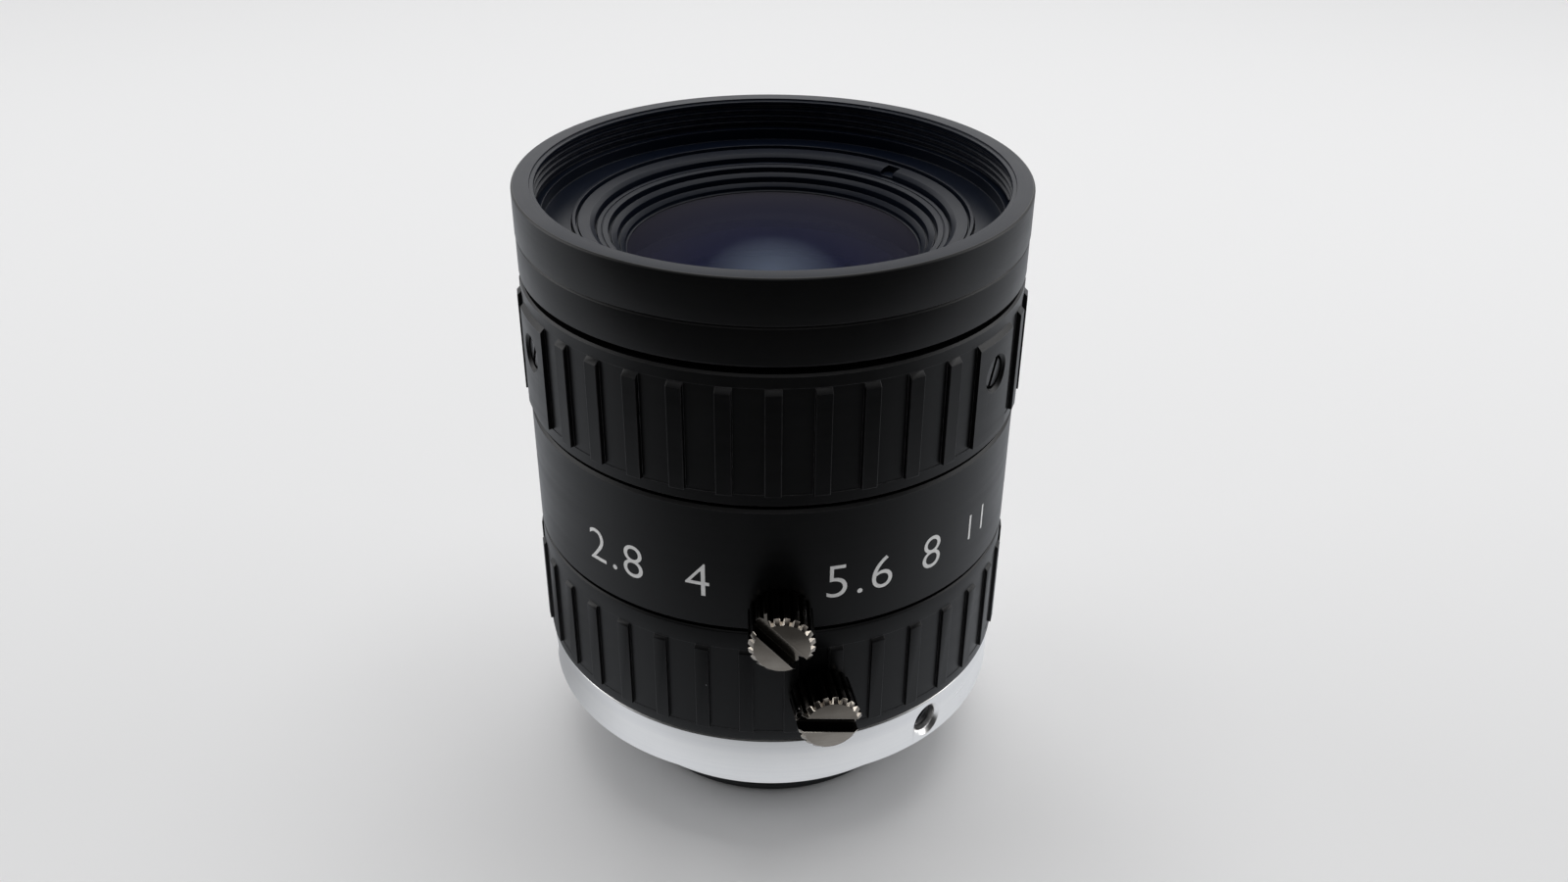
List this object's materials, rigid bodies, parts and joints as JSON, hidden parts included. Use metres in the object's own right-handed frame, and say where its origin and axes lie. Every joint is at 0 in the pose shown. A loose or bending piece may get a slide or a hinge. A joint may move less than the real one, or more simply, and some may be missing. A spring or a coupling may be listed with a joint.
{
  "type": "c-mount machine vision lens",
  "caption": "Manual machine vision lens with ribbed focus and iris rings, thumb lock screws, a filter thread in front and a threaded camera mount behind.",
  "frame": {"origin": "centre of the mount's flange face, on the optical axis", "axes": "+Z along the optical axis towards the front glass, -Y towards the lock screws' side, +X to the right seen from that side"},
  "size_m": [0.0386, 0.0424, 0.05],
  "materials": {
    "black_anodised": "satin black anodised",
    "satin_aluminium": "fine turned satin, clear anodised",
    "brass": "turned",
    "dark_steel": "black oxide",
    "nickel": "bright nickel plate on brass",
    "coated_glass": "polished, blue antireflection coating",
    "blade_steel": "blackened spring steel"
  },
  "bodies": {
    "barrel": {"mount_ring": "satin_aluminium", "mount_set_screws": "dark_steel", "rear_spigot": "black_anodised", "main_barrel": "black_anodised", "sleeve_retaining_ring": "black_anodised", "guide_screws": "dark_steel"},
    "focus": {"focus_ring": "black_anodised", "focus_set_screws": "dark_steel", "focus_sleeve": "brass"},
    "optics": {"front_ring": "black_anodised", "front_retaining_ring": "black_anodised", "optics_barrel": "black_anodised", "front_lens": "coated_glass", "front_spacer": "black_anodised", "second_lens": "coated_glass", "middle_spacer": "black_anodised", "third_lens": "coated_glass", "fourth_lens": "coated_glass", "iris_base_plate": "black_anodised", "iris_retaining_ring": "black_anodised", "rear_cell": "black_anodised", "fifth_lens": "coated_glass", "sixth_lens": "coated_glass", "rear_spacer": "black_anodised", "seventh_lens": "coated_glass", "rear_retaining_ring": "black_anodised"},
    "iris": {"iris_ring": "black_anodised", "iris_drive_pin": "dark_steel"},
    "iris_cam": {"iris_cam_ring": "black_anodised"},
    "focus_lock": {"focus_lock_screw": "nickel"},
    "iris_lock": {"iris_lock_screw": "nickel"},
    "blade_1": {"iris_blade_1": "blade_steel"},
    "blade_2": {"iris_blade_2": "blade_steel"},
    "blade_3": {"iris_blade_3": "blade_steel"},
    "blade_4": {"iris_blade_4": "blade_steel"},
    "blade_5": {"iris_blade_5": "blade_steel"}
  },
  "joints": [
    {"name": "focus_turn", "type": "hinge", "parent": "barrel", "child": "focus", "pos_m": [0, 0, 0.0346], "axis": [0, 0, 1], "range_deg": [0, 200]},
    {"name": "optics_slide", "type": "slide", "parent": "barrel", "child": "optics", "axis": [0, 0, 1], "range_m": [0, 0.00301]},
    {"name": "iris_turn", "type": "hinge", "parent": "barrel", "child": "iris", "pos_m": [0, 0, 0.01345], "axis": [0, 0, 1], "range_deg": [0, 60]},
    {"name": "iris_cam_turn", "type": "hinge", "parent": "optics", "child": "iris_cam", "pos_m": [0, 0, 0.0137], "axis": [0, 0, 1], "range_deg": [0, 60.2]},
    {"name": "blade_1_turn", "type": "hinge", "parent": "optics", "child": "blade_1", "pos_m": [0.00424, -0.01165, 0.0149], "axis": [0, 0, 1], "range_deg": [0, 28.9]},
    {"name": "blade_2_turn", "type": "hinge", "parent": "optics", "child": "blade_2", "pos_m": [0.01239, 0.00043, 0.0149], "axis": [0, 0, 1], "range_deg": [0, 28.9]},
    {"name": "blade_3_turn", "type": "hinge", "parent": "optics", "child": "blade_3", "pos_m": [0.00342, 0.01192, 0.0149], "axis": [0, 0, 1], "range_deg": [0, 28.9]},
    {"name": "blade_4_turn", "type": "hinge", "parent": "optics", "child": "blade_4", "pos_m": [-0.01028, 0.00693, 0.0149], "axis": [0, 0, 1], "range_deg": [0, 28.9]},
    {"name": "blade_5_turn", "type": "hinge", "parent": "optics", "child": "blade_5", "pos_m": [-0.00977, -0.00763, 0.0149], "axis": [0, 0, 1], "range_deg": [0, 28.9]},
    {"name": "focus_lock_turn", "type": "hinge", "parent": "barrel", "child": "focus_lock", "pos_m": [0.00086, -0.02048, 0.02055], "axis": [0.0419, -0.9991, 0], "range_deg": [0, 360]},
    {"name": "iris_lock_turn", "type": "hinge", "parent": "iris", "child": "iris_lock", "pos_m": [0.00405, -0.0201, 0.01315], "axis": [0.1977, -0.9803, 0], "range_deg": [0, 360]}
  ],
  "couplings": [
    {"joint": "optics_slide", "follows": "focus_turn", "m_per_rad": 0.00085944},
    {"joint": "iris_cam_turn", "follows": "iris_turn", "ratio": 1},
    {"joint": "blade_1_turn", "follows": "iris_turn", "ratio": 0.47833},
    {"joint": "blade_2_turn", "follows": "iris_turn", "ratio": 0.47833},
    {"joint": "blade_3_turn", "follows": "iris_turn", "ratio": 0.47833},
    {"joint": "blade_4_turn", "follows": "iris_turn", "ratio": 0.47833},
    {"joint": "blade_5_turn", "follows": "iris_turn", "ratio": 0.47833}
  ]
}
